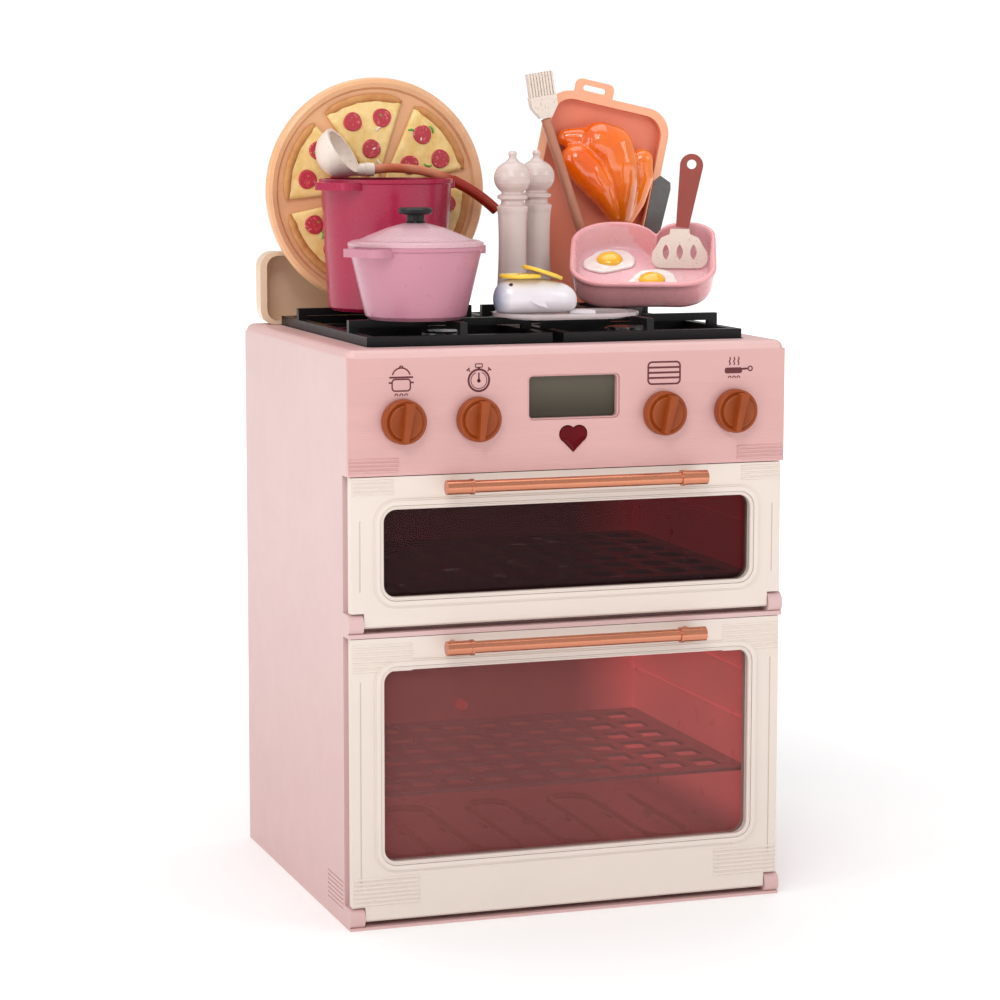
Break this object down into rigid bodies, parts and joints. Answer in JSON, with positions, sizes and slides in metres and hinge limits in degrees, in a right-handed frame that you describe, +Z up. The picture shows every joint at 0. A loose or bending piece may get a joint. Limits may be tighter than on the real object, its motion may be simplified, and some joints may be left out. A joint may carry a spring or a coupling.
{
  "type": "toy oven",
  "caption": "Doll-size toy double oven with drop-down doors, turning knobs, a press button, a hob with pan supports, and lift-off cookware and play food.",
  "frame": {"origin": "centre of the base, on the floor", "axes": "+X to the right-hand side, -Y to the front with the doors, +Z up"},
  "size_m": [0.1965, 0.1843, 0.3589],
  "materials": {
    "pink_shell": "satin moulded plastic",
    "pink_panel": "fine brushed texture",
    "steel": "satin",
    "black_plastic": "satin",
    "battery_sleeve": "glossy",
    "lcd": "glossy",
    "circuit_board": "satin",
    "cable": "satin",
    "lamp_lens": "clear",
    "heart_red": "glossy",
    "caramel": "satin",
    "oven_red": "satin translucent",
    "element_orange": "satin",
    "cream_shell": "satin moulded plastic",
    "smoked_window": "glossy tinted",
    "copper": "metallised copper",
    "dusty_pink": "satin",
    "fuchsia": "satin",
    "speckled_cream": "speckled",
    "brown_handle": "satin",
    "board_tan": "satin",
    "pizza": "satin",
    "pearl": "pearly",
    "coral": "satin",
    "roast_orange": "glossy",
    "blade_grey": "satin",
    "egg_white": "glossy",
    "clear_plate": "clear",
    "fish_silver": "pearly",
    "lemon": "satin",
    "beige": "satin"
  },
  "bodies": {
    "root": {"cabinet": "pink_shell", "top_frame": "pink_shell", "base_plate": "pink_shell", "rear_cover": "pink_shell", "case_screws": "steel", "battery_box": "black_plastic", "batteries": "battery_sleeve", "battery_door": "pink_shell", "control_panel": "pink_panel", "display_bezel": "pink_panel", "display_glass": "lcd", "main_board": "circuit_board", "wire_loom": "cable", "speaker": "steel", "oven_lamp": "lamp_lens", "hob_plate": "black_plastic", "left_pan_support": "black_plastic", "right_pan_support": "black_plastic", "upper_liner": "oven_red", "lower_liner": "oven_red", "upper_rack": "black_plastic", "lower_rack": "black_plastic", "heating_element": "element_orange", "hinge_pins": "steel"},
    "upper_door": {"upper_door_frame": "cream_shell", "upper_door_back": "cream_shell", "upper_door_glass": "smoked_window", "upper_door_handle": "copper"},
    "lower_door": {"lower_door_frame": "cream_shell", "lower_door_back": "cream_shell", "lower_door_glass": "smoked_window", "lower_door_handle": "copper"},
    "knob_1": {"knob_1": "caramel"},
    "knob_2": {"knob_2": "caramel"},
    "knob_3": {"knob_3": "caramel"},
    "knob_4": {"knob_4": "caramel"},
    "heart_button": {"heart_button": "heart_red"},
    "sauce_pot": {"sauce_pot": "dusty_pink"},
    "pot_lid": {"pot_lid": "dusty_pink", "lid_knob": "black_plastic"},
    "stock_pot": {"stock_pot": "fuchsia"},
    "ladle": {"ladle_head": "speckled_cream", "ladle_handle": "brown_handle"},
    "board": {"round_board": "board_tan", "pizza_slices": "pizza"},
    "salt_mill": {"salt_mill": "pearl"},
    "pepper_mill": {"pepper_mill": "pearl"},
    "tray": {"baking_tray": "coral", "roast_chicken": "roast_orange"},
    "brush": {"brush_head": "speckled_cream", "brush_handle": "brown_handle"},
    "knife": {"knife": "blade_grey"},
    "frying_pan": {"frying_pan": "dusty_pink"},
    "fried_eggs": {"fried_eggs": "egg_white"},
    "spatula": {"spatula_head": "speckled_cream", "spatula_handle": "brown_handle"},
    "serving_plate": {"serving_plate": "clear_plate"},
    "fish": {"fish": "fish_silver", "lemon_slices": "lemon"},
    "roasting_dish": {"roasting_dish": "beige"}
  },
  "joints": [
    {"name": "upper_door_hinge", "type": "hinge", "parent": "root", "child": "upper_door", "pos_m": [0, -0.0826, 0.1295], "axis": [1, 0, 0], "range_deg": [0, 90]},
    {"name": "lower_door_hinge", "type": "hinge", "parent": "root", "child": "lower_door", "pos_m": [0, -0.0826, 0.0049], "axis": [1, 0, 0], "range_deg": [0, 90]},
    {"name": "knob_1_turn", "type": "hinge", "parent": "root", "child": "knob_1", "pos_m": [-0.074, -0.086, 0.2138], "axis": [0, 1, 0], "range_deg": [-135, 135]},
    {"name": "knob_2_turn", "type": "hinge", "parent": "root", "child": "knob_2", "pos_m": [-0.0415, -0.086, 0.2138], "axis": [0, 1, 0], "range_deg": [-135, 135]},
    {"name": "knob_3_turn", "type": "hinge", "parent": "root", "child": "knob_3", "pos_m": [0.0415, -0.086, 0.2138], "axis": [0, 1, 0], "range_deg": [-135, 135]},
    {"name": "knob_4_turn", "type": "hinge", "parent": "root", "child": "knob_4", "pos_m": [0.074, -0.086, 0.2138], "axis": [0, 1, 0], "range_deg": [-135, 135]},
    {"name": "heart_press", "type": "slide", "parent": "root", "child": "heart_button", "axis": [0, 1, 0], "range_m": [0, 0.001], "stiffness_N_per_m": 500},
    {"name": "sauce_pot_lift", "type": "slide", "parent": "root", "child": "sauce_pot", "axis": [0, 0, 1], "range_m": [0, 0.06]},
    {"name": "pot_lid_lift", "type": "slide", "parent": "sauce_pot", "child": "pot_lid", "axis": [0, 0, 1], "range_m": [0, 0.06]},
    {"name": "stock_pot_lift", "type": "slide", "parent": "root", "child": "stock_pot", "axis": [0, 0, 1], "range_m": [0, 0.06]},
    {"name": "ladle_lift", "type": "slide", "parent": "stock_pot", "child": "ladle", "axis": [0, 0, 1], "range_m": [0, 0.06]},
    {"name": "board_lift", "type": "slide", "parent": "root", "child": "board", "axis": [0, 0, 1], "range_m": [0, 0.06]},
    {"name": "salt_mill_lift", "type": "slide", "parent": "root", "child": "salt_mill", "axis": [0, 0, 1], "range_m": [0, 0.06]},
    {"name": "pepper_mill_lift", "type": "slide", "parent": "root", "child": "pepper_mill", "axis": [0, 0, 1], "range_m": [0, 0.06]},
    {"name": "tray_lift", "type": "slide", "parent": "root", "child": "tray", "axis": [0, 0, 1], "range_m": [0, 0.06]},
    {"name": "brush_lift", "type": "slide", "parent": "root", "child": "brush", "axis": [0, 0, 1], "range_m": [0, 0.06]},
    {"name": "knife_lift", "type": "slide", "parent": "root", "child": "knife", "axis": [0, 0, 1], "range_m": [0, 0.06]},
    {"name": "frying_pan_lift", "type": "slide", "parent": "root", "child": "frying_pan", "axis": [0, 0, 1], "range_m": [0, 0.06]},
    {"name": "spatula_lift", "type": "slide", "parent": "frying_pan", "child": "spatula", "axis": [0, 0, 1], "range_m": [0, 0.06]},
    {"name": "serving_plate_lift", "type": "slide", "parent": "root", "child": "serving_plate", "axis": [0, 0, 1], "range_m": [0, 0.06]},
    {"name": "fish_lift", "type": "slide", "parent": "serving_plate", "child": "fish", "axis": [0, 0, 1], "range_m": [0, 0.06]},
    {"name": "roasting_dish_lift", "type": "slide", "parent": "root", "child": "roasting_dish", "axis": [0, 0, 1], "range_m": [0, 0.06]},
    {"name": "fried_eggs_lift", "type": "slide", "parent": "frying_pan", "child": "fried_eggs", "axis": [-0.1642, -0.4065, 0.8988], "range_m": [0, 0.03]}
  ]
}
